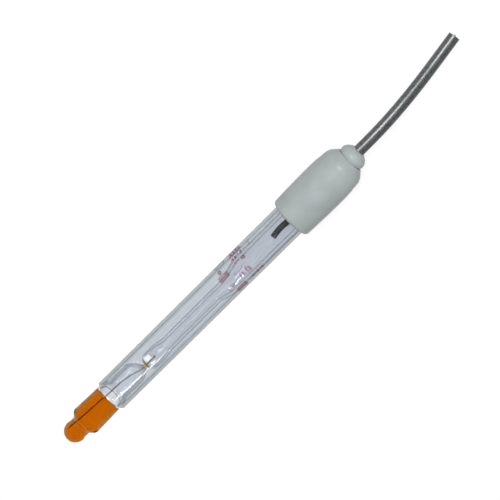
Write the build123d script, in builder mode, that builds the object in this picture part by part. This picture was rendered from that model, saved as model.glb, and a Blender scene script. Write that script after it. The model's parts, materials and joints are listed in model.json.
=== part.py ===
from build123d import *
import os
from math import acos, atan2, cos, hypot, radians, sin, sqrt, tan

# A glass pH electrode that lies on its cap and on the foot of its glass shaft.
# Places along the shaft are stations: millimetres from the cap's lower face on the
# shaft's axis, plus towards the cable and minus towards the bulb.
# Sideways places are millimetres from that axis, plus towards -Y.

# Shaft tube
jacket_radius = 6.0
jacket_wall = 0.9
jacket_length = 86.6
jacket_foot_round = 0.8
spigot_step = 0.25
spigot_length = 15.0

# Measuring chamber below and inside the shaft tube
chamber_wall = 0.8
seal_land = 1.2
chamber_swell = 0.4
chamber_drop = 12.5
shoulder_rise = 1.9
shoulder_round = 0.9
shoulder_step = 1.85
neck_length = 1.9
neck_flare = 0.08
neck_round = 0.8
waist_gap = 1.1
waist_drop = 2.4
waist_round = 1.2
waist_length = 7.8
dome_rise = 4.3
dome_top_radius = 0.95
dome_roof = 0.7
dome_bore_radius = 0.5

# Sensing bulb and its filling
bulb_swell = 0.25
bulb_wall = 0.35
level_below_seal = 0.5

# Blown inner tube
stem_side = 0.9
stem_radius = 2.57
stem_bore_radius = 1.55
stem_foot_swell = 0.58
stem_foot_wall = 0.7
stem_foot_length = 6.4
stem_foot_taper = 3.6
stem_foot_round = 2.0
stem_floor_round = 0.6
stem_blend_round = 5.0
stem_length = 34.0
funnel_length = 13.0
tube_side = 0.5
tube_clearance = 0.2
tube_wall = 1.2

# The funnel's sections as shares: of its length, of its widening, and how much of the
# widening it stands off to the side.
funnel_shape = [(0, 0, 0), (0.2, 0.2, 0.25), (0.4, 0.43, 0.41), (0.65, 0.65, 0.27), (1, 1, 0)]

# Wires, beads and plug
contact_radius = 0.18
contact_straight = 1.1
lead_radius = 0.15
bead_radius = 0.75
bead_end_radius = 0.5
bead_length = 1.0
plug_radius = 1.1
plug_length = 2.1
plug_gap = 0.05
weld_radius = 0.42
weld_gap = 0.25
solder_radius = 0.5
solder_length = 1.5
solder_round = 0.16

# Sleeve round the wire joint
sleeve_wall = 0.23
sleeve_drop = 8.2
sleeve_short = 1.5
sleeve_grip = 1.0
core_bare = 1.5

# Cap
cap_length = 28.2
cap_rim_wall = 1.45
cap_belly_swell = 0.3
cap_belly_station = 16.5
cap_top_fall = 0.85
cap_rim_round = 1.1
cap_shoulder_round = 3.0
cap_flat_share = 0.85
cap_hollow_step = 0.8
cap_roof = 3.6
cement_gap = 0.2
cement_recess = 0.6
disc_thickness = 2.0

# Grommet
grommet_neck_radius = 3.4
grommet_flange_radius = 4.2
grommet_flange = 1.5
grommet_head_radius = 4.8
grommet_tip_radius = 4.1
grommet_head_length = 4.0
grommet_round = 1.9

# Cable
cable_radius = 2.03
screen_radius = 1.15
insulation_radius = 0.8
core_radius = 0.25
jacket_bare = 1.0
screen_bare = 2.5

# The free cable's route from the grommet: along the shaft, sideways, up from its axis.
cable_route = [
    (8.6, 0.0, 0.0),
    (18.4, -0.6, -1.3),
    (28.8, -1.75, -4.0),
    (39.0, -3.3, -6.4),
    (47.7, -4.67, -7.1),
]

# The share of a route's shorter run that a bend may take up
bend_share = 0.45

# The contact wire's bends: along from the shaft tube's foot, sideways.
contact_bends = [(-18.2, -2.0), (-12.0, -1.5), (-2.0, -1.15), (5.6, -0.98), (9.5, -0.4), (12.6, 0.4)]

# The lead wire's and the sleeve's bends: station, sideways.
lead_bends = [(-25.8, 1.6), (-18.4, 1.85), (-13.3, 1.1)]
sleeve_bends = [(-4.4, -0.2), (1.0, 0.25), (5.0, 0.0)]
sleeve_foot_side = 0.34

# Stations and radii that follow from the sizes
seal = -jacket_length
bore_radius = jacket_radius - jacket_wall
chamber_foot = seal - chamber_drop
chamber_foot_radius = bore_radius + chamber_swell
neck_radius = chamber_foot_radius - shoulder_step
waist_radius = bore_radius - waist_gap
bulb_radius = neck_radius + bulb_swell
shoulder_foot = chamber_foot - shoulder_rise
neck = shoulder_foot - neck_length
neck_reach = sqrt(bulb_radius**2 - neck_radius**2)
bulb_centre = neck - neck_reach
bulb_tip = bulb_centre - bulb_radius
bulb_bore_radius = bulb_radius - bulb_wall
neck_bore_radius = sqrt(bulb_bore_radius**2 - neck_reach**2)
land_top = seal + seal_land
waist_foot = land_top + waist_drop
dome_foot = waist_foot + waist_length
dome_top = dome_foot + dome_rise
dome_roof_foot = dome_top - dome_roof
level = seal - level_below_seal
stem_foot = dome_top + bead_length
stem_floor = stem_foot + stem_foot_wall
stem_foot_radius = stem_radius + stem_foot_swell
stem_foot_bore_radius = stem_foot_radius - stem_foot_wall
plug_foot = stem_floor + stem_floor_round
plug_top = plug_foot + plug_length
plug_side = stem_side - (stem_foot_bore_radius - plug_gap - plug_radius)
weld_flat = sqrt(weld_radius**2 - contact_radius**2)
weld = plug_top + weld_gap + weld_radius
funnel_foot = stem_foot + stem_length
funnel_top = funnel_foot + funnel_length
tube_radius = bore_radius - tube_side - tube_clearance
tube_bore_radius = tube_radius - tube_wall
spigot_radius = jacket_radius - spigot_step
socket_radius = jacket_radius + cement_gap
disc_top = spigot_length + disc_thickness
cap_rim_radius = socket_radius + cap_rim_wall
cap_belly_radius = cap_rim_radius + cap_belly_swell
cap_top_radius = cap_belly_radius - cap_top_fall
cap_hollow_radius = socket_radius - cap_hollow_step
cap_flat = cap_flat_share * (cap_top_radius - grommet_neck_radius)
hollow_top = cap_length - cap_roof
flange_foot = hollow_top - grommet_flange
cable_exit = cap_length + grommet_head_length
sleeve_radius = insulation_radius + sleeve_wall
sleeve_rise = spigot_length - sleeve_short
insulation_foot = sleeve_rise - sleeve_grip
core_foot = insulation_foot - core_bare
solder_foot = core_foot - solder_length

# The lean of the shaft as it lies: the floor touches the foot of the shaft tube
# and the long arc of the cap below its belly.
rim_run = cap_belly_station - cap_rim_round
rim_fall = cap_belly_radius - cap_rim_radius
belly_arc = (rim_run**2 + rim_fall**2) / (2 * rim_fall)
belly_arc_centre = cap_belly_radius - belly_arc
cap_foot_radius = belly_arc_centre + sqrt(belly_arc**2 - cap_belly_station**2)
foot_touch = seal + jacket_foot_round
touch_run = cap_belly_station - foot_touch
touch_depth = jacket_radius - belly_arc_centre
lean = atan2(touch_run, touch_depth) - acos(belly_arc / hypot(touch_run, touch_depth))

# The origin is on the floor, under the middle of the rigid length.
middle = (bulb_tip + cable_exit) / 2
seat_height = jacket_radius * cos(lean) - foot_touch * sin(lean)
shaft = Plane(
    origin=(-middle * cos(lean), 0, seat_height),
    x_dir=(cos(lean), 0, sin(lean)),
    z_dir=(0, -1, 0),
)
stem = shaft.offset(stem_side)
shaft_axis = Axis(shaft.origin, shaft.x_dir)
stem_axis = Axis(stem.origin, stem.x_dir)


def place(station, side=0.0, up=0.0):
    """A point on or beside the shaft's axis."""
    return shaft.from_local_coords(Vector(station, up, side))


def across(station, side=0.0):
    """The plane square to the shaft at a station."""
    return Plane(origin=place(station, side), x_dir=(0, -1, 0), z_dir=shaft.x_dir)


def arc_radii(points):
    """For each corner of a route, the largest arc that its two runs leave room for."""
    radii = []
    for before, corner, after in zip(points, points[1:], points[2:]):
        turn = radians((corner - before).get_angle(after - corner))
        run = min((corner - before).length, (after - corner).length)
        radii.append(bend_share * run / tan(turn / 2))
    return radii


def tube_along(points, radius, bore=0.0):
    """A round rod or tube along a route, added to the part that is being built."""
    with BuildLine() as route:
        FilletPolyline(points, radius=arc_radii(points))
    path = route.wires()[0]
    with BuildSketch(Plane(path @ 0, z_dir=path % 0)) as section:
        Circle(radius)
        if bore:
            Circle(bore, mode=Mode.SUBTRACT)
    sweep(section.sketch, path=path)


def rod_across(start, end, side, radius, mode=Mode.ADD):
    """A round rod along the shaft between two stations."""
    with BuildSketch(across(start, side)) as section:
        Circle(radius)
    extrude(section.sketch, amount=end - start, mode=mode)


def chamber_inside():
    """The chamber's inner wall from its neck to the top of its seal, as one line."""
    return FilletPolyline(
        (neck, neck_bore_radius),
        (shoulder_foot + chamber_wall / 2, neck_bore_radius + neck_flare),
        (chamber_foot + chamber_wall / 2, chamber_foot_radius - chamber_wall),
        (land_top, bore_radius - chamber_wall),
        radius=[neck_round, shoulder_round],
    )


def funnel(narrow, wide, mode):
    """The oblique funnel between a narrow and a wide radius."""
    sections = []
    for along, widening, bulge in funnel_shape:
        side = stem_side + along * (tube_side - stem_side) + bulge * (tube_radius - stem_radius)
        with BuildSketch(across(funnel_foot + along * funnel_length, side)) as section:
            Circle(narrow + widening * (wide - narrow))
        sections.append(section.sketch)
    loft(sections, mode=mode)


os.makedirs("parts", exist_ok=True)

# Glass shaft tube
with BuildPart() as outer_jacket:
    with BuildSketch(shaft) as jacket_half:
        with BuildLine():
            Polyline(
                (seal, bore_radius),
                (seal, jacket_radius),
                (0, jacket_radius),
                (0, spigot_radius),
                (spigot_length, spigot_radius),
                (spigot_length, bore_radius),
                close=True,
            )
        make_face()
        foot_corner = jacket_half.vertices().group_by(Axis.X)[0].sort_by(Axis.Y)[-1]
        fillet(foot_corner, radius=jacket_foot_round)
    revolve(axis=shaft_axis)
outer_jacket.part.label = "outer_jacket"
export_step(outer_jacket.part, "parts/outer_jacket.step")

# Measuring chamber, fused into the foot of the shaft tube
with BuildPart() as chamber_tube:
    with BuildSketch(shaft):
        with BuildLine():
            below = FilletPolyline(
                (neck, neck_radius),
                (shoulder_foot, neck_radius + neck_flare),
                (chamber_foot, chamber_foot_radius),
                (seal, bore_radius),
                radius=[neck_round, shoulder_round],
            )
            above = FilletPolyline(
                (seal, bore_radius),
                (land_top, bore_radius),
                (waist_foot, waist_radius),
                (dome_foot, waist_radius),
                radius=[waist_round / 2, waist_round],
            )
            inside = chamber_inside()
            inside_above = FilletPolyline(
                inside @ 1,
                (waist_foot, waist_radius - chamber_wall),
                (dome_foot, waist_radius - chamber_wall),
                radius=[waist_round],
            )
            Line(above @ 1, inside_above @ 1)
            Line(below @ 0, inside @ 0)
        make_face()
    revolve(axis=shaft_axis)
    with BuildSketch(across(dome_foot)):
        Circle(waist_radius)
    with BuildSketch(across(dome_top, stem_side)):
        Circle(dome_top_radius)
    loft()
    with BuildSketch(across(dome_foot)):
        Circle(waist_radius - chamber_wall)
    with BuildSketch(across(dome_roof_foot, stem_side)):
        Circle(dome_bore_radius)
    loft(mode=Mode.SUBTRACT)
    rod_across(dome_roof_foot, dome_top, stem_side, contact_radius, Mode.SUBTRACT)
chamber_tube.part.label = "chamber_tube"
export_step(chamber_tube.part, "parts/chamber_tube.step")

# Thin sensing bulb
with BuildPart() as membrane_bulb:
    with BuildSketch(shaft):
        with BuildLine():
            skin = ThreePointArc(
                (bulb_tip, 0), (bulb_centre, bulb_radius), (neck, neck_radius)
            )
            lining = ThreePointArc(
                (bulb_tip + bulb_wall, 0),
                (bulb_centre, bulb_bore_radius),
                (neck, neck_bore_radius),
            )
            Line(skin @ 0, lining @ 0)
            Line(skin @ 1, lining @ 1)
        make_face()
    revolve(axis=shaft_axis)
membrane_bulb.part.label = "membrane_bulb"
export_step(membrane_bulb.part, "parts/membrane_bulb.step")

# Contact wire from the bulb up through the dome to the weld
contact_points = [place(seal + along, side) for along, side in contact_bends]
contact_points.append(place(dome_roof_foot - contact_straight, stem_side))
contact_points.append(place(weld - weld_flat, stem_side))
with BuildPart() as contact_electrode:
    tube_along(contact_points, contact_radius)
contact_electrode.part.label = "contact_electrode"
export_step(contact_electrode.part, "parts/contact_electrode.step")

# Inner solution, up to its level just under the seal
with BuildPart() as buffer_solution:
    with BuildSketch(shaft):
        with BuildLine():
            bowl = ThreePointArc(
                (bulb_tip + bulb_wall, 0),
                (bulb_centre, bulb_bore_radius),
                (neck, neck_bore_radius),
            )
            side_wall = chamber_inside()
            Line(side_wall @ 1, (land_top, 0))
            Line((land_top, 0), bowl @ 0)
        make_face()
    revolve(axis=shaft_axis)
    split(bisect_by=across(level), keep=Keep.BOTTOM)
    add(contact_electrode.part, mode=Mode.SUBTRACT)
buffer_solution.part.label = "buffer_solution"
export_step(buffer_solution.part, "parts/buffer_solution.step")

# Glass bead round the wire, between the dome and the inner tube
with BuildPart() as seal_bead:
    with BuildSketch(stem):
        with BuildLine():
            belly = ThreePointArc(
                (dome_top, bead_end_radius),
                ((dome_top + stem_foot) / 2, bead_radius),
                (stem_foot, bead_end_radius),
            )
            Polyline(
                belly @ 1,
                (stem_foot, contact_radius),
                (dome_top, contact_radius),
                belly @ 0,
            )
        make_face()
    revolve(axis=stem_axis)
seal_bead.part.label = "seal_bead"
export_step(seal_bead.part, "parts/seal_bead.step")

# Blown inner tube: round foot, narrow stem, oblique funnel, wide tube
with BuildPart() as inner_tube:
    foot_top = stem_foot + stem_foot_length
    taper_top = foot_top + stem_foot_taper
    with BuildSketch(stem):
        with BuildLine():
            outside = FilletPolyline(
                (stem_foot, 0),
                (stem_foot, stem_foot_radius),
                (foot_top, stem_foot_radius),
                (taper_top, stem_radius),
                (funnel_foot, stem_radius),
                radius=[stem_foot_round, stem_blend_round, stem_blend_round],
            )
            Polyline(outside @ 1, (funnel_foot, 0), outside @ 0)
        make_face()
    revolve(axis=stem_axis)
    funnel(stem_radius, tube_radius, Mode.ADD)
    rod_across(funnel_top, spigot_length, tube_side, tube_radius)
    with BuildSketch(stem):
        with BuildLine():
            bore = FilletPolyline(
                (stem_floor, 0),
                (stem_floor, stem_foot_bore_radius),
                (foot_top, stem_foot_bore_radius),
                (taper_top, stem_bore_radius),
                (funnel_foot, stem_bore_radius),
                radius=[stem_floor_round, stem_blend_round, stem_blend_round],
            )
            Polyline(bore @ 1, (funnel_foot, 0), bore @ 0)
        make_face()
    revolve(axis=stem_axis, mode=Mode.SUBTRACT)
    funnel(stem_bore_radius, tube_bore_radius, Mode.SUBTRACT)
    rod_across(funnel_top, spigot_length, tube_side, tube_bore_radius, Mode.SUBTRACT)
    rod_across(stem_foot, stem_floor, stem_side, contact_radius, Mode.SUBTRACT)
inner_tube.part.label = "inner_tube"
export_step(inner_tube.part, "parts/inner_tube.step")

# White plug beside the wire in the inner tube's foot
with BuildPart() as packing_plug:
    rod_across(plug_foot, plug_top, plug_side, plug_radius)
    rod_across(plug_foot, plug_top, stem_side, contact_radius + plug_gap, Mode.SUBTRACT)
packing_plug.part.label = "packing_plug"
export_step(packing_plug.part, "parts/packing_plug.step")

# Weld between the contact wire and the lead
with BuildPart() as weld_bead:
    with BuildSketch(stem):
        with BuildLine():
            blob = ThreePointArc(
                (weld - weld_flat, contact_radius),
                (weld, weld_radius),
                (weld + weld_flat, contact_radius),
            )
            Polyline(blob @ 1, (weld + weld_flat, 0), (weld - weld_flat, 0), blob @ 0)
        make_face()
    revolve(axis=stem_axis)
weld_bead.part.label = "weld_bead"
export_step(weld_bead.part, "parts/weld_bead.step")

# Lead wire up the inner tube and into the sleeve
sleeve_points = [place(-sleeve_drop, sleeve_foot_side)]
sleeve_points += [place(station, side) for station, side in sleeve_bends]
lead_points = [place(weld + weld_flat, stem_side), place(funnel_foot, stem_side)]
lead_points += [place(station, side) for station, side in lead_bends]
lead_points += sleeve_points
lead_points.append(place(solder_foot))
with BuildPart() as lead_wire:
    tube_along(lead_points, lead_radius)
lead_wire.part.label = "lead_wire"
export_step(lead_wire.part, "parts/lead_wire.step")

# Black sleeve over the joint
with BuildPart() as insulating_sleeve:
    tube_along([*sleeve_points, place(sleeve_rise)], sleeve_radius, insulation_radius)
insulating_sleeve.part.label = "insulating_sleeve"
export_step(insulating_sleeve.part, "parts/insulating_sleeve.step")

# Solder between the lead wire and the cable's core
with BuildPart() as solder_joint:
    rod_across(solder_foot, core_foot, 0, solder_radius)
    fillet(solder_joint.edges(), radius=solder_round)
solder_joint.part.label = "solder_joint"
export_step(solder_joint.part, "parts/solder_joint.step")

# Cap
with BuildPart() as cap:
    with BuildSketch(shaft) as cap_half:
        with BuildLine():
            lower = TangentArc(
                (cap_belly_station, cap_belly_radius), (0, cap_foot_radius), tangent=(-1, 0)
            )
            upper = TangentArc(
                (cap_belly_station, cap_belly_radius),
                (cap_length, cap_top_radius),
                tangent=(1, 0),
            )
            Polyline(
                upper @ 1,
                (cap_length, grommet_neck_radius),
                (hollow_top, grommet_neck_radius),
                (hollow_top, cap_hollow_radius),
                (disc_top, cap_hollow_radius),
                (disc_top, socket_radius),
                (0, socket_radius),
                lower @ 1,
            )
        make_face()
        rim = cap_half.vertices().group_by(Axis.X)[0].sort_by(Axis.Y)[-1]
        fillet(rim, cap_rim_round)
        shoulder = cap_half.vertices().group_by(Axis.X)[-1].sort_by(Axis.Y)[-1]
        fillet(shoulder, min(cap_shoulder_round, cap_flat))
    revolve(axis=shaft_axis)
cap.part.label = "cap"
export_step(cap.part, "parts/cap.step")

# Cement skirt round the spigot and sealing disc on top of the glass
with BuildPart() as potting:
    with BuildSketch(shaft):
        with BuildLine():
            Polyline(
                (cement_recess, spigot_radius),
                (cement_recess, socket_radius),
                (disc_top, socket_radius),
                (disc_top, insulation_radius),
                (spigot_length, insulation_radius),
                (spigot_length, spigot_radius),
                close=True,
            )
        make_face()
    revolve(axis=shaft_axis)
potting.part.label = "potting"
export_step(potting.part, "parts/potting.step")

# Grommet held in the cap's roof by its flange and its head
with BuildPart() as strain_relief:
    with BuildSketch(shaft) as grommet_half:
        with BuildLine():
            Polyline(
                (flange_foot, cable_radius),
                (flange_foot, grommet_flange_radius),
                (hollow_top, grommet_flange_radius),
                (hollow_top, grommet_neck_radius),
                (cap_length, grommet_neck_radius),
                (cap_length, grommet_head_radius),
                (cable_exit, grommet_tip_radius),
                (cable_exit, cable_radius),
                close=True,
            )
        make_face()
        tip_corner = grommet_half.vertices().group_by(Axis.X)[-1].sort_by(Axis.Y)[-1]
        fillet(tip_corner, radius=grommet_round)
    revolve(axis=shaft_axis)
strain_relief.part.label = "strain_relief"
export_step(strain_relief.part, "parts/strain_relief.step")

# Screened cable, its layers stripped in steps inside the cap and cut square at the free end
free_points = [place(cable_exit + along, side, up) for along, side, up in cable_route]
print("cable arcs", [round(r, 1) for r in arc_radii([place(cable_exit), *free_points])])

with BuildPart() as cable_jacket:
    tube_along([place(flange_foot - jacket_bare), *free_points], cable_radius, screen_radius)
cable_jacket.part.label = "cable_jacket"
export_step(cable_jacket.part, "parts/cable_jacket.step")

with BuildPart() as cable_screen:
    tube_along([place(flange_foot - screen_bare), *free_points], screen_radius, insulation_radius)
cable_screen.part.label = "cable_screen"
export_step(cable_screen.part, "parts/cable_screen.step")

with BuildPart() as cable_insulation:
    tube_along([place(insulation_foot), *free_points], insulation_radius, core_radius)
cable_insulation.part.label = "cable_insulation"
export_step(cable_insulation.part, "parts/cable_insulation.step")

with BuildPart() as cable_core:
    tube_along([place(core_foot), *free_points], core_radius)
cable_core.part.label = "cable_core"
export_step(cable_core.part, "parts/cable_core.step")
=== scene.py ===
"""A glass pH electrode that lies on a pale floor, seen from above."""
import json
from math import acos, atan2, cos, hypot, pi, radians, sin, sqrt, tan

import bmesh
import bpy
from mathutils import Matrix, Vector, noise


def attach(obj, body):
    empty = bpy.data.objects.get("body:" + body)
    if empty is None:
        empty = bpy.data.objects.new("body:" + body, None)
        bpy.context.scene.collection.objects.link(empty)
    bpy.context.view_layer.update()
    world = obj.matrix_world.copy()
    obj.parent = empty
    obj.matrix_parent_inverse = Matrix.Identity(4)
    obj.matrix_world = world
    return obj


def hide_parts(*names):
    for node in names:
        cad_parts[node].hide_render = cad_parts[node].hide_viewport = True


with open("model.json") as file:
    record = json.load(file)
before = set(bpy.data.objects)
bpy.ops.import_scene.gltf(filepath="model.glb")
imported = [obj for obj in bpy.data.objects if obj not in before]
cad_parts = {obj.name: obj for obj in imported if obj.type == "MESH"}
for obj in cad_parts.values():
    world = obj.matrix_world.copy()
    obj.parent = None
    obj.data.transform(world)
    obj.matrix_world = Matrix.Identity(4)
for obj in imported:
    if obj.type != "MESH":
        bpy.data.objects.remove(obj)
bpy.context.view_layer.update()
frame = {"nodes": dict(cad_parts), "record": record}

# Frame of the shaft: stations are millimetres from the cap's lower face along its axis,
# sides are millimetres towards -Y, heights are millimetres up from the axis.
MM = 0.001
BODY = "root"
nodes = frame["nodes"]
shaft_mount = next(m for m in frame["record"]["mounts"] if m["name"] == "shaft")
along_dir = -Vector(shaft_mount["axis"]).normalized()
side_dir = Vector((0, -1, 0))
up_dir = side_dir.cross(along_dir)
mount_point = Vector(shaft_mount["pos_m"])


def reach(node):
    """How far a solid goes along the shaft, from the mount's point, in millimetres."""
    places = [(v.co - mount_point).dot(along_dir) / MM for v in nodes[node].data.vertices]
    return min(places), max(places)


cap_face = reach("cap")[0]
shaft_zero = mount_point + along_dir * cap_face * MM


def span(node):
    """The first and the last station of a solid."""
    return tuple(spot - cap_face for spot in reach(node))


def place(station, side=0.0, up=0.0):
    """A point given by its station, side and height."""
    return shaft_zero + MM * (station * along_dir + side * side_dir + up * up_dir)


def where(point):
    """The station of a point and how far it is from the shaft's axis, in millimetres."""
    arm = (point - shaft_zero) / MM
    station = arm.dot(along_dir)
    return station, (arm - station * along_dir).length


# Stations that the solids give
jacket_foot, jacket_top = span("outer_jacket")
bulb_tip, neck = span("membrane_bulb")
dome_top = span("chamber_tube")[1]
level = span("buffer_solution")[1]
stem_foot, tube_top = span("inner_tube")
cap_foot, cap_top = span("cap")
cable_exit = span("strain_relief")[1]

# Glass sizes in millimetres
jacket_radius = shaft_mount["dims"]["r_mm"]
jacket_wall = 0.9
jacket_foot_round = 0.8
spigot_radius = 5.75
fused = 0.03
neck_blend = 0.8
neck_outer_round = 1.1
neck_inner_round = 1.6
chamber_wall = 0.8
chamber_foot_radius = 5.5
chamber_drop = 12.5
shoulder_rise = 1.9
shoulder_wall = 0.2
shoulder_round = 1.3
neck_radius = 3.65
neck_flare = 0.08
neck_round = 1.3
bulb_radius = 3.9
bulb_wall = 0.16
seal_land = 1.2
waist_radius = 4.0
waist_drop = 2.4
waist_round = 1.2
dome_rise = 4.3
dome_roof = 0.7
dome_top_radius = 0.95
dome_bore_radius = 0.5
stem_side = 0.9
stem_radius = 2.57
stem_bore_radius = 1.55
stem_foot_radius = 3.15
stem_foot_wall = 0.7
stem_foot_length = 6.4
stem_foot_taper = 3.6
stem_foot_round = 2.0
stem_floor_round = 0.6
stem_blend_round = 5.0
stem_length = 34.0
funnel_length = 13.0
tube_side = 0.5
tube_radius = 4.4
tube_wall = 1.2
tube_ripple = 0.006
tube_ripple_seed = 3.0

# The filling: how far it goes into the glass, how its surface climbs at the wall, dips in
# the middle and leans, and the rings of the surface as shares of its radius.
wetting = 0.1
surface_climb = 0.3
surface_dip = 0.1
surface_lean = 0.24
surface_curl = 6
surface_rings = (0.95, 0.88, 0.75, 0.5, 0.25, 0.0)

# The dome's sections as shares: of its rise, of its narrowing, and of the way to the side.
dome_shape = [(0, 0, 0), (0.3, 0.14, 0.17), (0.62, 0.48, 0.55), (0.88, 0.84, 0.9)]
dome_flat_share = 0.8

# The funnel's sections as shares: of its length, of its widening, and how much of the
# widening it stands off to the side.
funnel_shape = [(0, 0, 0), (0.2, 0.2, 0.25), (0.4, 0.43, 0.41), (0.65, 0.65, 0.27), (1, 1, 0)]

# Stations and radii that follow
bore_radius = jacket_radius - jacket_wall
chamber_foot = jacket_foot - chamber_drop
shoulder_foot = chamber_foot - shoulder_rise
land_top = jacket_foot + seal_land
waist_foot = land_top + waist_drop
dome_foot = dome_top - dome_rise
funnel_foot = stem_foot + stem_length
funnel_top = funnel_foot + funnel_length
bulb_centre = bulb_tip + bulb_radius
bulb_bore_radius = bulb_radius - bulb_wall
neck_bore_radius = sqrt(bulb_bore_radius**2 - (neck - bulb_centre) ** 2)
stem_floor = stem_foot + stem_foot_wall
stem_foot_bore_radius = stem_foot_radius - stem_foot_wall
tube_bore_radius = tube_radius - tube_wall

# Fineness of the meshes: facets round the shaft, steps in a rounded corner, how fast a
# ripple changes, what counts as on the axis or straight, and the angles of sharp edges.
SEGMENTS = 160
ARC_STEPS = 8
RIPPLES_ALONG = 0.16
RIPPLES_ROUND = 0.7
ON_AXIS = 1e-6
STRAIGHT = 1e-4
SHARP_EDGE = radians(40)
SOLID_SHARP_EDGE = radians(35)


# Profiles

def rounded(points, radii):
    """A line of (station, radius) points with its inner corners rounded, one radius each."""
    line = [Vector(points[0])]
    for before, corner, after, radius in zip(points, points[1:], points[2:], radii):
        corner = Vector(corner)
        back = (Vector(before) - corner).normalized()
        ahead = (Vector(after) - corner).normalized()
        half = acos(max(-1.0, min(1.0, back.dot(ahead)))) / 2
        if radius == 0 or half > pi / 2 - STRAIGHT:
            line.append(corner)
            continue
        cut = radius / tan(half)
        centre = corner + (back + ahead).normalized() * radius / sin(half)
        first = corner + back * cut - centre
        last = corner + ahead * cut - centre
        turn = atan2(first.x * last.y - first.y * last.x, first.dot(last))
        for step in range(ARC_STEPS + 1):
            angle = turn * step / ARC_STEPS
            line.append(centre + Matrix.Rotation(angle, 2) @ first)
    line.append(Vector(points[-1]))
    return [(point.x, point.y) for point in line]


def ball(centre, radius, end, steps=28):
    """The profile of a ball from its tip on the axis to a station nearer the cap."""
    last = acos((end - centre) / radius)
    angles = [pi + (last - pi) * step / steps for step in range(steps + 1)]
    return [(centre + radius * cos(a), max(0.0, radius * sin(a))) for a in angles]


def flowing(sections, steps=6):
    """A smooth run through some sections: (station, radius), or (station, radius, side)."""
    ends = [sections[0], *sections, sections[-1]]
    line = []
    for a, b, c, d in zip(ends, ends[1:], ends[2:], ends[3:]):
        a, b, c, d = Vector(a), Vector(b), Vector(c), Vector(d)
        for step in range(steps):
            t = step / steps
            line.append(tuple(0.5 * (
                2 * b + (c - a) * t + (2 * a - 5 * b + 4 * c - d) * t**2
                + (3 * b - a - 3 * c + d) * t**3
            )))
    line.append(tuple(sections[-1]))
    return line


def offset(line, side):
    """The same profile beside the shaft's axis."""
    return [(station, radius, side) for station, radius in line]


def split_long(line, longest=2.0):
    """The same profile with long straight stretches divided, for even facets."""
    parted = [line[0]]
    for before, after in zip(line, line[1:]):
        count = max(1, int(hypot(after[0] - before[0], after[1] - before[1]) / longest))
        for step in range(1, count + 1):
            share = step / count
            parted.append(tuple(p + (q - p) * share for p, q in zip(before, after)))
    return parted


# Meshes

def turn_rings(mesh, line, closed, ripple, seed):
    """Rings of faces round the shaft along a profile, uneven by a ripple; returns the faces."""
    loops = []
    for section in line:
        station, radius, side = (*section, 0.0)[:3]
        if radius < ON_AXIS:
            loops.append([mesh.verts.new(place(station, side))])
            continue
        loop = []
        for step in range(SEGMENTS):
            angle = 2 * pi * step / SEGMENTS
            spot = Vector((
                station * RIPPLES_ALONG,
                cos(angle) * RIPPLES_ROUND,
                sin(angle) * RIPPLES_ROUND + seed,
            ))
            wide = radius + ripple * noise.noise(spot)
            point = place(station, side + wide * cos(angle), wide * sin(angle))
            loop.append(mesh.verts.new(point))
        loops.append(loop)
    pairs = list(zip(loops, loops[1:]))
    if closed:
        pairs.append((loops[-1], loops[0]))
    faces = []
    for first, second in pairs:
        for step in range(SEGMENTS):
            here, there = step, (step + 1) % SEGMENTS
            if len(first) == 1:
                corners = [first[0], second[here], second[there]]
            elif len(second) == 1:
                corners = [first[here], second[0], first[there]]
            else:
                corners = [first[here], second[here], second[there], first[there]]
            faces.append(mesh.faces.new(corners))
    return faces


def finish_mesh(name, mesh):
    """A smooth object from a bmesh, with its sharp edges kept."""
    data = bpy.data.meshes.new(name)
    mesh.to_mesh(data)
    mesh.free()
    data.shade_smooth()
    data.set_sharp_from_angle(angle=SHARP_EDGE)
    piece = bpy.data.objects.new(name, data)
    bpy.context.scene.collection.objects.link(piece)
    return piece


def lathe(name, outside, inside=None, closed=False, ripple=0.0, seed=0.0):
    """A turned piece. A closed profile is a ring; inside is the profile of a sealed hollow."""
    mesh = bmesh.new()
    faces = turn_rings(mesh, outside, closed, ripple, seed)
    bmesh.ops.recalc_face_normals(mesh, faces=faces)
    if inside:
        hollow = turn_rings(mesh, inside, False, ripple, seed)
        bmesh.ops.recalc_face_normals(mesh, faces=hollow)
        bmesh.ops.reverse_faces(mesh, faces=hollow)
    return finish_mesh(name, mesh)


def settle(piece, material, slot, *replaced):
    """Gives a piece its material, and lets it ride and stand for its solids; its slot is not
    used.
    """
    piece.data.materials.clear()
    piece.data.materials.append(material)
    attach(piece, BODY)
    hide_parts(*replaced)
    return piece


def add_look(piece, material):
    """Gives a piece one more material; returns the index that its faces take."""
    piece.data.materials.append(material)
    return len(piece.data.materials) - 1


# Materials

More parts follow.
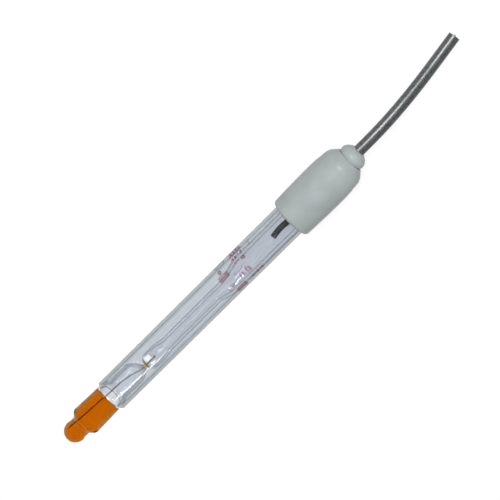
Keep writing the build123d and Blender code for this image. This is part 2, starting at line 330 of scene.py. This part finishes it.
class Look:
    """A Principled material and the few node tools that the looks share."""

    def __init__(self, name, colour, **settings):
        self.material = bpy.data.materials.new(name)
        self.material.use_nodes = True
        self.tree = self.material.node_tree
        self.shader = self.tree.nodes["Principled BSDF"]
        self.shader.inputs["Base Color"].default_value = (*colour, 1)
        for key, value in settings.items():
            self.shader.inputs[key.replace("_", " ")].default_value = value

    def node(self, kind, **inputs):
        """A new node with some of its inputs set."""
        made = self.tree.nodes.new(kind)
        for key, value in inputs.items():
            made.inputs[key.replace("_", " ")].default_value = value
        return made

    def link(self, source, target):
        """Joins an output to an input."""
        self.tree.links.new(source, target)

    def grain(self, scale, detail=3.0):
        """A noise in the part's own frame; scale is in features per metre."""
        coordinates = self.node("ShaderNodeTexCoord")
        speckle = self.node("ShaderNodeTexNoise", Scale=scale, Detail=detail)
        self.link(coordinates.outputs["Object"], speckle.inputs["Vector"])
        return speckle.outputs["Fac"]

    def bump(self, height, strength, distance):
        """A rough face; the distance is in millimetres."""
        bump = self.node("ShaderNodeBump", Strength=strength, Distance=distance * MM)
        self.link(height, bump.inputs["Height"])
        self.link(bump.outputs["Normal"], self.shader.inputs["Normal"])

    def mottle(self, height, dark, light, low=0.35, high=0.65):
        """Base colour that wanders between two tones."""
        ramp = self.node("ShaderNodeValToRGB")
        ramp.color_ramp.elements[0].position = low
        ramp.color_ramp.elements[0].color = (*dark, 1)
        ramp.color_ramp.elements[1].position = high
        ramp.color_ramp.elements[1].color = (*light, 1)
        self.link(height, ramp.inputs["Fac"])
        self.link(ramp.outputs["Color"], self.shader.inputs["Base Color"])

    def vary_roughness(self, height, low, high):
        """Gloss that wanders between two roughnesses."""
        spread = self.node("ShaderNodeMapRange", To_Min=low, To_Max=high)
        self.link(height, spread.inputs["Value"])
        self.link(spread.outputs["Result"], self.shader.inputs["Roughness"])


def glass_look(name, tint, edge, begins, ends, ior=1.47, mirror=1.0):
    """Clear glass or liquid that goes from its tint to its edge colour, a painted edge shade,
    where the eye grazes it.

    The mirror value dims its reflections.
    """
    look = Look(
        name, tint, Roughness=0.0, IOR=ior, Transmission_Weight=1.0,
        Specular_Tint=(mirror, mirror, mirror, 1),
    )
    # Painted shade: the base colour turns from the tint to the edge colour where the surface is
    # seen edge-on
    facing = look.node("ShaderNodeLayerWeight", Blend=0.5)
    look.mottle(facing.outputs["Facing"], tint, edge, begins, ends)
    return look.material


def plastic_look(name, dark, light, roughness):
    """Satin plastic with a fine grain and slow changes of tone."""
    look = Look(name, light, Roughness=roughness, IOR=1.49)
    look.mottle(look.grain(140), dark, light)
    look.bump(look.grain(5200, detail=2.0), strength=0.12, distance=0.06)
    return look.material


def cable_look():
    """A dark sheath with a patchy gloss."""
    look = Look("cable_sheath", (0.07, 0.075, 0.075), Roughness=0.3)
    look.mottle(look.grain(1500, detail=4.0), (0.018, 0.021, 0.021), (0.042, 0.046, 0.046))
    look.vary_roughness(look.grain(700), low=0.27, high=0.44)
    look.bump(look.grain(2600), strength=0.14, distance=0.1)
    return look.material


def print_look():
    """Worn dark red ink."""
    look = Look("worn_ink", (0.2, 0.03, 0.08), Roughness=0.6)
    look.mottle(look.grain(900), (0.13, 0.012, 0.045), (0.3, 0.08, 0.15), low=0.4)
    look.vary_roughness(look.grain(1500), low=0.5, high=0.75)
    return look.material


def metal_look(name, dark, light, roughness):
    """Bare metal with an uneven face."""
    look = Look(name, light, Roughness=roughness, Metallic=1.0)
    look.mottle(look.grain(1500), dark, light)
    look.bump(look.grain(4000), strength=0.2, distance=0.05)
    return look.material


def matt_look(name, dark, light, roughness=0.8):
    """A grainy face without metal: matt, or glossier where the roughness is low."""
    look = Look(name, light, Roughness=roughness)
    look.mottle(look.grain(1800, detail=4.0), dark, light)
    look.bump(look.grain(3600, detail=4.0), strength=0.4, distance=0.1)
    return look.material


# Glass

def chamber_inside(grow=0.0):
    """The chamber's inner wall from the bulb's tip to the top of the seal."""
    line = ball(bulb_centre, bulb_bore_radius, neck - neck_blend)
    line += rounded(
        [
            line[-1],
            (neck, neck_bore_radius),
            (shoulder_foot + shoulder_wall / 2, neck_bore_radius + neck_flare),
            (chamber_foot + shoulder_wall / 2, chamber_foot_radius - shoulder_wall),
            (land_top, bore_radius - chamber_wall),
        ],
        [neck_inner_round, neck_round, shoulder_round],
    )[1:]
    return [(station, radius + grow if radius else radius) for station, radius in line]


def dome(foot_radius, top_station, top_radius):
    """The oblique dome from the waist to its closed top beside the axis."""
    sections = [
        (
            dome_foot + share * (top_station - dome_foot),
            foot_radius * (1 - narrowing) + top_radius * narrowing,
            stem_side * sideways,
        )
        for share, narrowing, sideways in dome_shape
    ]
    sections.append((top_station, top_radius * dome_flat_share, stem_side))
    sections.append((top_station, 0.0, stem_side))
    return flowing(sections)


def make_jacket(skin, clear):
    """The shaft tube, whose skin carries a grey tint of painted shade; its foot is fused a hair
    into the chamber's wall.
    """
    wall = rounded(
        [
            (land_top, bore_radius - fused),
            (jacket_foot, bore_radius - fused),
            (jacket_foot, jacket_radius),
            (cap_foot, jacket_radius),
            (cap_foot, spigot_radius),
            (jacket_top, spigot_radius),
            (jacket_top, bore_radius),
            (land_top, bore_radius),
        ],
        [0, jacket_foot_round, 0, 0, 0, 0],
    )
    piece = lathe("shaft_tube", split_long(wall), closed=True)
    settle(piece, skin, "clear_glass", "outer_jacket")
    clear_index = add_look(piece, clear)
    for face in piece.data.polygons:
        if where(face.center)[1] < jacket_radius - fused:
            face.material_index = clear_index
    piece.visible_shadow = False
    return piece


def filled_to(up):
    """The station that the filling reaches at a height from the axis: its surface leans."""
    return level + surface_lean * (up - bore_radius + chamber_wall)


def make_chamber(skin_glass, clear, wetted):
    """The blown measuring chamber with its thin bulb.

    The part outside the jacket carries a grey tint and a darker amber-brown edge, both painted
    shade. Where the filling wets the inside, light goes from glass to liquid and hardly bends.
    """
    skin = ball(bulb_centre, bulb_radius, neck - neck_blend)
    skin += rounded(
        [
            skin[-1],
            (neck, neck_radius),
            (shoulder_foot, neck_radius + neck_flare),
            (chamber_foot, chamber_foot_radius),
            (jacket_foot, bore_radius),
            (land_top, bore_radius),
            (waist_foot, waist_radius),
            (dome_foot, waist_radius),
        ],
        [neck_outer_round, neck_round, shoulder_round, 0, waist_round / 2, waist_round],
    )[1:]
    skin = split_long(skin) + dome(waist_radius, dome_top, dome_top_radius)[1:]
    hollow = chamber_inside()
    hollow += rounded(
        [
            hollow[-1],
            (waist_foot, waist_radius - chamber_wall),
            (dome_foot, waist_radius - chamber_wall),
        ],
        [waist_round],
    )[1:]
    hollow = split_long(hollow)
    hollow += dome(waist_radius - chamber_wall, dome_top - dome_roof, dome_bore_radius)[1:]
    piece = lathe("measuring_chamber", skin, hollow)
    settle(piece, skin_glass, "clear_glass", "chamber_tube", "membrane_bulb")
    clear_index = add_look(piece, clear)
    wetted_index = add_look(piece, wetted)
    inside = len(piece.data.polygons) - SEGMENTS * (len(hollow) - 1)
    for face in piece.data.polygons:
        station = where(face.center)[0]
        up = (face.center - shaft_zero).dot(up_dir) / MM
        if face.index >= inside and station < filled_to(up):
            face.material_index = wetted_index
        elif face.index >= inside or station > jacket_foot:
            face.material_index = clear_index
    piece.visible_shadow = False


def inner_tube_side(foot, foot_radius, foot_round, narrow, wide):
    """One side of the inner tube's wall, from its closed foot to its open top."""
    foot_end = stem_foot + stem_foot_length
    line = offset(split_long(rounded(
        [
            (foot, 0.0),
            (foot, foot_radius),
            (foot_end, foot_radius),
            (foot_end + stem_foot_taper, narrow),
            (funnel_foot, narrow),
        ],
        [foot_round, stem_blend_round, stem_blend_round],
    )), stem_side)
    line += flowing([
        (
            funnel_foot + share * funnel_length,
            narrow + widening * (wide - narrow),
            stem_side + share * (tube_side - stem_side) + bulge * (tube_radius - stem_radius),
        )
        for share, widening, bulge in funnel_shape
    ])[1:]
    return line + offset(split_long([(funnel_top, wide), (tube_top, wide)]), tube_side)[1:]


def make_inner_tube(material, foot_glass):
    """The blown inner tube; its round foot has a lighter painted edge shade than the rest."""
    skin = inner_tube_side(stem_foot, stem_foot_radius, stem_foot_round, stem_radius, tube_radius)
    bore = inner_tube_side(
        stem_floor, stem_foot_bore_radius, stem_floor_round, stem_bore_radius, tube_bore_radius
    )
    piece = lathe(
        "blown_inner_tube", skin + bore[::-1], ripple=tube_ripple, seed=tube_ripple_seed
    )
    settle(piece, material, "clear_glass", "inner_tube")
    foot_index = add_look(piece, foot_glass)
    for face in piece.data.polygons:
        if where(face.center)[0] < stem_foot + stem_foot_round:
            face.material_index = foot_index
    piece.visible_shadow = False


def make_solution(body, surface):
    """The filling reaches a hair into the glass, so that no film of air shows between.

    Its surface leans: it stands higher on the upper side than underneath.
    """
    wet_wall = chamber_inside(wetting)
    filled = [ring for ring in wet_wall if ring[0] < level]
    below, above = filled[-1], wet_wall[len(filled)]
    wall = below[1] + (above[1] - below[1]) * (level - below[0]) / (above[0] - below[0])
    filled.append((level + surface_climb, wall))
    filled = split_long(filled, longest=1.0)
    sides = len(filled) - 1
    lowest = level - surface_dip
    for share in surface_rings:
        rise = (surface_climb + surface_dip) * share**surface_curl
        filled.append((lowest + rise, wall * share))
    piece = lathe("amber_filling", filled)
    for vertex in piece.data.vertices:
        arm = (vertex.co - shaft_zero) / MM
        share = max(0.0, (arm.dot(along_dir) - chamber_foot) / (level - chamber_foot))
        vertex.co += along_dir * MM * surface_lean * share * (arm.dot(up_dir) - wall)
    settle(piece, body, "solution", "buffer_solution")
    surface_index = add_look(piece, surface)
    for face in piece.data.polygons:
        if face.index >= SEGMENTS * sides:
            face.material_index = surface_index
    piece.visible_shadow = False


# Cap: radii, drops from its top and roundings in millimetres
cap_rim_radius = 7.65
cap_belly_radius = 7.95
cap_belly_station = 16.5
cap_top_radius = 7.1
cap_rim_round = 1.1
cap_shoulder_round = 4.2
cap_crease_radius = 4.75
cap_crease_drop = 0.45
cap_crease_lip = 0.2
cap_crease_lip_drop = 0.15
cap_crease_inset = 0.25
cap_crease_rounds = [0.2, 0.1, 0.2]
cap_barrel_end = 5.9
cap_barrel_end_swell = 0.47
cap_shoulder_drop = 2.9
cap_shoulder_swell = 0.25
cap_socket_radius = 6.2
cap_socket_depth = 4.0
cap_socket_round = 0.15
cap_rim_round_share = 0.98
cap_neck_radius = 3.4
cap_neck_depth = 3.0

# The grommet: heights from the cap's top and radii of its dome, then of its lip from the
# cable's exit, and its shank in the cap.
grommet_dome = [(-0.42, 4.3), (0.15, 4.58), (1.1, 4.74), (2.1, 4.45), (3.0, 3.75)]
grommet_lip = [(-0.3, 2.8), (0.0, 2.15)]
grommet_seat = grommet_dome[0][0]
grommet_shank_foot = -2.5
grommet_bore_top = -0.1
grommet_bore_grip = 0.02
grommet_shank_gap = 0.05
cable_radius = 2.03


def barrel(radius, middle, end, end_radius, steps=14):
    """Half of a barrel's side: an arc that is level at its middle."""
    run = end - middle
    fall = radius - end_radius
    arc = (run**2 + fall**2) / (2 * fall)
    spots = [middle + run * step / steps for step in range(steps + 1)]
    return [(spot, radius - arc + sqrt(arc**2 - (spot - middle) ** 2)) for spot in spots]


def make_cap(material):
    """The barrel-shaped cap, open below for the shaft and above for the grommet."""
    lower = barrel(cap_belly_radius, cap_belly_station, cap_foot + cap_rim_round, cap_rim_radius)
    upper = barrel(
        cap_belly_radius, cap_belly_station,
        cap_top - cap_barrel_end, cap_top_radius + cap_barrel_end_swell,
    )
    foot = rounded(
        [
            (cap_foot + cap_socket_depth, cap_socket_radius),
            (cap_foot, cap_socket_radius),
            (cap_foot, lower[-1][1]),
            lower[-1],
        ],
        [cap_socket_round, cap_rim_round * cap_rim_round_share],
    )
    head = rounded(
        [
            upper[-1],
            (cap_top - cap_shoulder_drop, cap_top_radius + cap_shoulder_swell),
            (cap_top - cap_crease_lip_drop, cap_crease_radius + cap_crease_lip),
            (cap_top - cap_crease_drop, cap_crease_radius - cap_crease_inset),
            (cap_top - cap_crease_drop, cap_neck_radius),
            (cap_top - cap_neck_depth, cap_neck_radius),
        ],
        [cap_shoulder_round, *cap_crease_rounds],
    )
    line = foot + lower[::-1][1:] + upper[1:] + head[1:]
    piece = lathe("cap_shell", line, closed=True)
    return settle(piece, material, "grey_plastic", "cap")


def make_grommet(material):
    """A domed plug that closes softly on the cable."""
    head = [(cap_top + height, radius) for height, radius in grommet_dome]
    head += [(cable_exit + height, radius) for height, radius in grommet_lip]
    bore = cable_radius - grommet_bore_grip
    shank_radius = cap_neck_radius - grommet_shank_gap
    shank = [
        (cable_exit + grommet_bore_top, bore),
        (cap_top + grommet_shank_foot, bore),
        (cap_top + grommet_shank_foot, shank_radius),
        (cap_top + grommet_seat, shank_radius),
    ]
    piece = lathe("grommet", flowing(head) + shank, closed=True)
    return settle(piece, material, "grommet_plastic", "strain_relief")


# Print on the shaft: ink's height and spread, and how finely it is divided
ink_depth = 0.02
ink_spread = 0.08
ink_longest_edge = 0.45
ink_halvings = 4


def ink_words(words, size):
    """A flat mesh of some numerals, in millimetres, from the origin along X."""
    curve = bpy.data.curves.new("words", "FONT")
    curve.body = words
    curve.size = size
    curve.offset = ink_spread
    holder = bpy.data.objects.new("words", curve)
    bpy.context.scene.collection.objects.link(holder)
    flat = bpy.data.meshes.new_from_object(
        holder.evaluated_get(bpy.context.evaluated_depsgraph_get())
    )
    mesh = bmesh.new()
    mesh.from_mesh(flat)
    bpy.data.objects.remove(holder)
    bpy.data.curves.remove(curve)
    bpy.data.meshes.remove(flat)
    return mesh


def ink_bars(bars):
    """A flat mesh of bars given as (left, bottom, width, height) in millimetres."""
    mesh = bmesh.new()
    for left, bottom, width, height in bars:
        corners = [
            (left, bottom), (left + width, bottom),
            (left + width, bottom + height), (left, bottom + height),
        ]
        mesh.faces.new([mesh.verts.new((x, y, 0)) for x, y in corners])
    return mesh


def wrap_ink(mesh, station, turned):
    """Divides a flat mesh finely and lays it round the shaft as a thin layer of ink.

    It starts at a station and is turned by some degrees from the top of the shaft.
    """
    for _ in range(ink_halvings):
        long = [edge for edge in mesh.edges if edge.calc_length() > ink_longest_edge]
        if long:
            bmesh.ops.subdivide_edges(mesh, edges=long, cuts=1)
    bmesh.ops.triangulate(mesh, faces=mesh.faces[:])
    top = bmesh.ops.extrude_face_region(mesh, geom=mesh.faces[:])["geom"]
    raised = {part for part in top if isinstance(part, bmesh.types.BMVert)}
    for vertex in mesh.verts:
        angle = radians(turned) - vertex.co.y / jacket_radius
        wide = jacket_radius + (ink_depth if vertex in raised else 0.0)
        vertex.co = place(station + vertex.co.x, wide * sin(angle), wide * cos(angle))
    bmesh.ops.recalc_face_normals(mesh, faces=mesh.faces[:])


def make_print(material):
    """A worn scale round the front of the shaft: ticks, bars and the numbers 0 to 14."""
    hatch = [(0.62 * step, 0.0, 0.26, 1.7) for step in range(8)]
    ticks = [(0.7 * step, 0.0, 0.24, 1.6 if step % 5 == 0 else 1.0) for step in range(7)]
    block = [
        (0, 0, 4.0, 0.28), (0, 1.7, 4.0, 0.28), (0, 0, 0.28, 1.98), (3.72, 0, 0.28, 1.98),
        *[(0.6 + 0.55 * step, 0.45, 0.26, 1.05) for step in range(6)],
    ]
    slanted = [(0.8 * step, 0.25 * step, 0.3, 1.5) for step in range(4)]
    mark = [(0, 0, 0.25, 1.6)]
    # Each row is a flat mesh, its first station and how far round it is turned.
    rows = [
        (ink_words("0 1 2 3", size=1.7), -23.0, -66),
        (ink_bars(hatch), -23.2, -48),
        (ink_words("4 5 6 7", size=1.7), -23.0, -33),
        (ink_words("8 9 10", size=1.7), -22.8, -14),
        (ink_bars(ticks), -29.8, -66),
        (ink_words("0", size=2.4), -29.3, -30),
        (ink_bars(block), -30.4, -7),
        (ink_bars(ticks), -25.2, 12),
        (ink_words("11 12", size=2.2), -24.6, 27),
        (ink_bars(slanted), -30.4, 38),
        (ink_bars(block), -28.6, 62),
        (ink_words("14 13 12", size=1.5), -22.0, 56),
        (ink_bars(mark), -14.6, -36),
    ]
    whole = bmesh.new()
    for mesh, station, turned in rows:
        wrap_ink(mesh, station, turned)
        row = bpy.data.meshes.new("row")
        mesh.to_mesh(row)
        mesh.free()
        whole.from_mesh(row)
        bpy.data.meshes.remove(row)
    piece = finish_mesh("scale_print", whole)
    piece.data.materials.append(material)
    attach(piece, BODY)
    piece.visible_shadow = False


# Cable: its route as (along, side, up) from the exit, and its layers
cable_route = [
    (0.0, 0.0, 0.0),
    (8.6, 0.0, 0.0),
    (18.4, -0.6, -1.3),
    (28.8, -1.75, -4.0),
    (39.0, -3.3, -6.4),
    (47.7, -4.67, -7.1),
]
screen_radius = 1.15
insulation_radius = 0.8
core_radius = 0.25
screen_stub = 0.06
insulation_stub = 0.12
core_stub = 0.4
CABLE_ROUND_STEPS = 12
CABLE_LENGTH_STEPS = 24
CABLE_CURVE_ORDER = 3


def cable_layer(name, radius, stick_out=0.0):
    """One round layer of the cable along its route; the free end may stick out a little."""
    curve = bpy.data.curves.new(name, "CURVE")
    curve.dimensions = "3D"
    curve.bevel_depth = radius * MM
    curve.bevel_resolution = CABLE_ROUND_STEPS
    curve.use_fill_caps = True
    curve.resolution_u = CABLE_LENGTH_STEPS
    points = [place(cable_exit + along, side, up) for along, side, up in cable_route]
    points[-1] += (points[-1] - points[-2]).normalized() * stick_out * MM
    spline = curve.splines.new("NURBS")
    spline.points.add(len(points) - 1)
    for control, point in zip(spline.points, points):
        control.co = (*point, 1)
    spline.order_u = CABLE_CURVE_ORDER
    spline.use_endpoint_u = True
    piece = bpy.data.objects.new(name, curve)
    bpy.context.scene.collection.objects.link(piece)
    return piece


def make_cable(sheath, braid, plastic, copper):
    """The screened cable: a sheath, and inside it the screen, the insulation and the core."""
    cable = settle(cable_layer("cable", cable_radius), sheath, "cable_sheath", "cable_jacket")
    inner = [
        settle(
            cable_layer("braid", screen_radius, screen_stub),
            braid, "copper_braid", "cable_screen",
        ),
        settle(
            cable_layer("core_insulation", insulation_radius, insulation_stub),
            plastic, "cable_core_plastic", "cable_insulation",
        ),
        settle(
            cable_layer("core_wire", core_radius, core_stub),
            copper, "copper", "cable_core",
        ),
    ]
    return cable


def dress_solids(looks):
    """The solids that keep their own shape get their materials."""
    for node, material in looks.items():
        nodes[node].data.materials.clear()
        nodes[node].data.materials.append(material)
        nodes[node].data.shade_smooth()
        nodes[node].data.set_sharp_from_angle(angle=SOLID_SHARP_EDGE)


# Surroundings: the floor seen and as a source of light, then the room that gloss and glass
# see, where heights and ends are parts of a direction of length 1.
WHITE = (1, 1, 1)
floor_half = 3.0
floor_colour = (0.9, 0.9, 0.9)
floor_glow = 1.06
floor_glow_share = 0.8
floor_colour_as_light = (0.3, 0.3, 0.3)
wall_top = 0.06
ceiling_foot = 0.24
ceiling_colour = (0.06, 0.06, 0.065)
end_wall_begins = 0.7
end_wall_full = 0.85
end_wall_share = 0.6
soft_light = 0.17


def seen_rays(tree):
    """1 for rays from the camera and rays that gloss and glass send on, else 0."""
    path = tree.nodes.new("ShaderNodeLightPath")
    first = tree.nodes.new("ShaderNodeMath")
    first.operation = "MAXIMUM"
    second = tree.nodes.new("ShaderNodeMath")
    second.operation = "MAXIMUM"
    tree.links.new(path.outputs["Is Camera Ray"], first.inputs[0])
    tree.links.new(path.outputs["Is Glossy Ray"], first.inputs[1])
    tree.links.new(first.outputs["Value"], second.inputs[0])
    tree.links.new(path.outputs["Is Transmission Ray"], second.inputs[1])
    return second.outputs["Value"]


def make_floor():
    """A floor that looks white and keeps a shadow, but throws less light on the object."""
    data = bpy.data.meshes.new("floor")
    half = floor_half
    corners = [(-half, -half, 0), (half, -half, 0), (half, half, 0), (-half, half, 0)]
    data.from_pydata(corners, [], [(0, 1, 2, 3)])
    floor = bpy.data.objects.new("floor", data)
    bpy.context.scene.collection.objects.link(floor)
    material = bpy.data.materials.new("floor")
    material.use_nodes = True
    tree = material.node_tree
    tree.nodes.clear()
    output = tree.nodes.new("ShaderNodeOutputMaterial")
    plain = tree.nodes.new("ShaderNodeBsdfDiffuse")
    plain.inputs["Color"].default_value = (*floor_colour_as_light, 1)
    lit = tree.nodes.new("ShaderNodeBsdfDiffuse")
    lit.inputs["Color"].default_value = (*floor_colour, 1)
    glow = tree.nodes.new("ShaderNodeEmission")
    glow.inputs["Strength"].default_value = floor_glow
    white = tree.nodes.new("ShaderNodeMixShader")
    white.inputs["Fac"].default_value = floor_glow_share
    tree.links.new(lit.outputs[0], white.inputs[1])
    tree.links.new(glow.outputs[0], white.inputs[2])
    choice = tree.nodes.new("ShaderNodeMixShader")
    tree.links.new(seen_rays(tree), choice.inputs["Fac"])
    tree.links.new(plain.outputs[0], choice.inputs[1])
    tree.links.new(white.outputs[0], choice.inputs[2])
    tree.links.new(choice.outputs[0], output.inputs["Surface"])
    data.materials.append(material)


def make_world():
    """Soft light all round; gloss and glass see a room instead.

    The room has white walls under a dim ceiling, and pale end walls that go all the way up.
    """
    world = bpy.data.worlds.new("studio")
    bpy.context.scene.world = world
    world.use_nodes = True
    tree = world.node_tree
    tree.nodes.clear()

    def background(colour, strength=1.0):
        """A plain colour all round."""
        made = tree.nodes.new("ShaderNodeBackground")
        made.inputs["Color"].default_value = (*colour, 1)
        made.inputs["Strength"].default_value = strength
        return made

    def choose(factor, otherwise, chosen):
        """The chosen shader where the factor is 1, else the other."""
        mix = tree.nodes.new("ShaderNodeMixShader")
        tree.links.new(factor, mix.inputs["Fac"])
        tree.links.new(otherwise.outputs[0], mix.inputs[1])
        tree.links.new(chosen.outputs[0], mix.inputs[2])
        return mix

    path = tree.nodes.new("ShaderNodeLightPath")
    coordinates = tree.nodes.new("ShaderNodeTexCoord")
    parts = tree.nodes.new("ShaderNodeSeparateXYZ")
    ramp = tree.nodes.new("ShaderNodeValToRGB")
    ramp.color_ramp.elements[0].position = wall_top
    ramp.color_ramp.elements[0].color = (*WHITE, 1)
    ramp.color_ramp.elements[1].position = ceiling_foot
    ramp.color_ramp.elements[1].color = (*ceiling_colour, 1)
    tree.links.new(coordinates.outputs["Generated"], parts.inputs["Vector"])
    tree.links.new(parts.outputs["Z"], ramp.inputs["Fac"])
    room = background(WHITE)
    tree.links.new(ramp.outputs["Color"], room.inputs["Color"])
    lengthwise = tree.nodes.new("ShaderNodeMath")
    lengthwise.operation = "ABSOLUTE"
    tree.links.new(parts.outputs["X"], lengthwise.inputs[0])
    end_wall = tree.nodes.new("ShaderNodeMapRange")
    end_wall.inputs["From Min"].default_value = end_wall_begins
    end_wall.inputs["From Max"].default_value = end_wall_full
    end_wall.inputs["To Max"].default_value = end_wall_share
    tree.links.new(lengthwise.outputs["Value"], end_wall.inputs["Value"])
    room = choose(end_wall.outputs["Result"], room, background(WHITE))
    mix = choose(path.outputs["Is Glossy Ray"], background(WHITE, soft_light), room)
    mix = choose(path.outputs["Is Transmission Ray"], mix, room)
    mix = choose(path.outputs["Is Camera Ray"], mix, background(WHITE))
    output = tree.nodes.new("ShaderNodeOutputWorld")
    tree.links.new(mix.outputs[0], output.inputs["Surface"])


def make_lamp(name, aim, toward, distance, size, power, shows_in=None, lie=along_dir):
    """A soft lamp that points at a place, its first side along the shaft or as lie says.

    A lamp that is made for some pieces lights only these and shows in their gloss. Its
    distance and size are in metres, its power in watts.
    """
    lamp = bpy.data.lights.new(name, "AREA")
    lamp.shape = "RECTANGLE"
    lamp.size, lamp.size_y = size
    lamp.energy = power
    holder = bpy.data.objects.new(name, lamp)
    bpy.context.scene.collection.objects.link(holder)
    back = toward.normalized()
    across = back.cross(lie).normalized()
    turned = Matrix((across.cross(back), across, back)).transposed().to_4x4()
    holder.matrix_world = Matrix.Translation(aim + back * distance) @ turned
    holder.visible_glossy = shows_in is not None
    if shows_in:
        group = bpy.data.collections.new(name + "_pieces")
        for piece in shows_in:
            group.objects.link(piece)
        holder.light_linking.receiver_collection = group


def make_camera():
    """The photograph's view: from above, leaning to the cable's end, with the picture turned."""
    tilt = radians(12.0)
    turn = radians(44.71)
    distance = 735.0
    lens_in_pixels = 2219.0
    picture_width = 500.0
    sensor = 36.0
    aim = place(-17.0, -1.98)
    toward = sin(tilt) * along_dir + cos(tilt) * up_dir
    up_picture = cos(tilt) * along_dir - sin(tilt) * up_dir
    right = cos(turn) * up_picture + sin(turn) * side_dir
    upward = sin(turn) * up_picture - cos(turn) * side_dir
    data = bpy.data.cameras.new("camera")
    data.sensor_width = sensor
    data.lens = lens_in_pixels / picture_width * sensor
    data.clip_start = 0.01
    camera = bpy.data.objects.new("camera", data)
    bpy.context.scene.collection.objects.link(camera)
    turned = Matrix((right, upward, toward)).transposed().to_4x4()
    camera.matrix_world = Matrix.Translation(aim + toward * distance * MM) @ turned
    bpy.context.scene.camera = camera


# Picture: light goes through many walls of glass, and bright glints in them are kept
light_bounces = 32
brightest_glint = 30
scene = bpy.context.scene
scene.view_settings.view_transform = "Standard"
scene.cycles.max_bounces = light_bounces
scene.cycles.transmission_bounces = light_bounces
scene.cycles.transparent_max_bounces = light_bounces
scene.cycles.sample_clamp_indirect = brightest_glint
make_camera()
make_world()
make_floor()
make_lamp(
    "key", aim=place(-20), toward=up_dir + 0.2 * along_dir - 0.08 * side_dir,
    distance=0.7, size=(0.3, 0.3), power=4.6,
)

# Glass and filling
glass_tint = (0.98, 0.98, 0.99)
# Near-black painted edge shade for the glass where it is seen edge-on
painted_edge_shade = (0.06, 0.065, 0.07)
clear_glass = glass_look("blown_glass", glass_tint, painted_edge_shade, begins=0.34, ends=0.76)
# The jacket's skin: a grey tint of painted shade that darkens all seen through it, with the
# painted edge shade
jacket_glass = glass_look(
    "jacket_glass", (0.5, 0.54, 0.585), painted_edge_shade, begins=0.42, ends=0.75, mirror=0.12
)
# The chamber's skin outside the jacket: a grey tint of painted shade, with a darker amber-brown
# painted edge shade
chamber_glass = glass_look(
    "chamber_glass", (0.74, 0.77, 0.8), (0.4, 0.3, 0.08),
    begins=0.4, ends=0.9, ior=1.2, mirror=0.3,
)
# The inner tube's foot: a lighter painted edge shade than the rest
foot_glass = glass_look(
    "foot_glass", glass_tint, (0.6, 0.62, 0.64), begins=0.4, ends=0.9, mirror=0.5
)
# Sealed glass: clear, with the near-black painted edge shade
sealed_glass = glass_look(
    "sealed_glass", glass_tint, painted_edge_shade, begins=0.34, ends=0.76, mirror=0.3
)
# Wetted glass: clear, with a faint amber painted edge shade
wetted_glass = glass_look(
    "wetted_glass", WHITE, (0.9, 0.8, 0.6), begins=0.8, ends=1.0, ior=1.0
)
# Amber filling: its darker edge colour is painted edge shade
amber_solution = glass_look(
    "amber_solution", (0.62, 0.148, 0.001), (0.28, 0.22, 0.005),
    begins=0.22, ends=0.7, ior=1.0,
)
# Amber surface: its darker edge colour is painted edge shade
amber_surface = glass_look(
    "amber_surface", (0.9, 0.6, 0.3), (0.5, 0.13, 0.01),
    begins=0.4, ends=0.8, ior=1.34, mirror=0.4,
)
jacket = make_jacket(jacket_glass, clear_glass)
make_chamber(chamber_glass, sealed_glass, wetted_glass)
make_inner_tube(clear_glass, foot_glass)
make_solution(amber_solution, amber_surface)
make_print(print_look())

# Cap, grommet and cable
cap_plastic = plastic_look(
    "grey_plastic", (0.33, 0.365, 0.365), (0.365, 0.405, 0.405), roughness=0.32
)
grommet_plastic = plastic_look(
    "grommet_plastic", (0.35, 0.385, 0.385), (0.38, 0.42, 0.42), roughness=0.34
)
braid_copper = metal_look("braid_copper", (0.35, 0.2, 0.12), (0.7, 0.42, 0.28), roughness=0.35)
core_plastic = matt_look("core_plastic", (0.7, 0.7, 0.67), (0.8, 0.8, 0.77), roughness=0.4)
bright_copper = metal_look("bright_copper", (0.5, 0.24, 0.13), (0.75, 0.4, 0.24), roughness=0.25)
cap = make_cap(cap_plastic)
grommet = make_grommet(grommet_plastic)
cable = make_cable(cable_look(), braid_copper, core_plastic, bright_copper)

# Pieces inside
dress_solids({
    "contact_electrode": matt_look(
        "contact_wire", (0.05, 0.027, 0.014), (0.09, 0.05, 0.026), roughness=0.4
    ),
    "seal_bead": matt_look("bead_glass", (0.4, 0.19, 0.02), (0.62, 0.34, 0.07), roughness=0.2),
    "packing_plug": matt_look("white_packing", (0.68, 0.69, 0.65), (0.8, 0.81, 0.77)),
    "weld_bead": metal_look("weld_metal", (0.12, 0.05, 0.02), (0.25, 0.12, 0.05), roughness=0.45),
    "lead_wire": matt_look("tinned_wire", (0.42, 0.44, 0.47), (0.55, 0.57, 0.6), roughness=0.45),
    "insulating_sleeve": matt_look(
        "black_sleeve", (0.012, 0.012, 0.012), (0.025, 0.026, 0.026), roughness=0.5
    ),
    "solder_joint": metal_look("solder", (0.45, 0.45, 0.46), (0.6, 0.6, 0.61), roughness=0.3),
    "potting": matt_look("cement", (0.42, 0.42, 0.4), (0.52, 0.52, 0.5)),
})

# Lamps for the shine of some pieces
make_lamp(
    "glint", aim=place(-25, 2), toward=-0.385 * along_dir + 0.54 * side_dir + 0.68 * up_dir,
    distance=0.5, size=(0.3, 0.012), power=1.0, shows_in=[jacket],
    lie=0.17 * along_dir + 0.85 * side_dir - 0.46 * up_dir,
)
make_lamp(
    "cable_shine", aim=place(90), toward=up_dir - 0.28 * side_dir,
    distance=0.5, size=(0.3, 0.15), power=5.5, shows_in=[cable],
)
make_lamp(
    "cap_shine", aim=place(20), toward=up_dir + 0.45 * along_dir - 0.1 * side_dir,
    distance=0.6, size=(0.1, 0.06), power=0.8, shows_in=[cap, grommet],
)
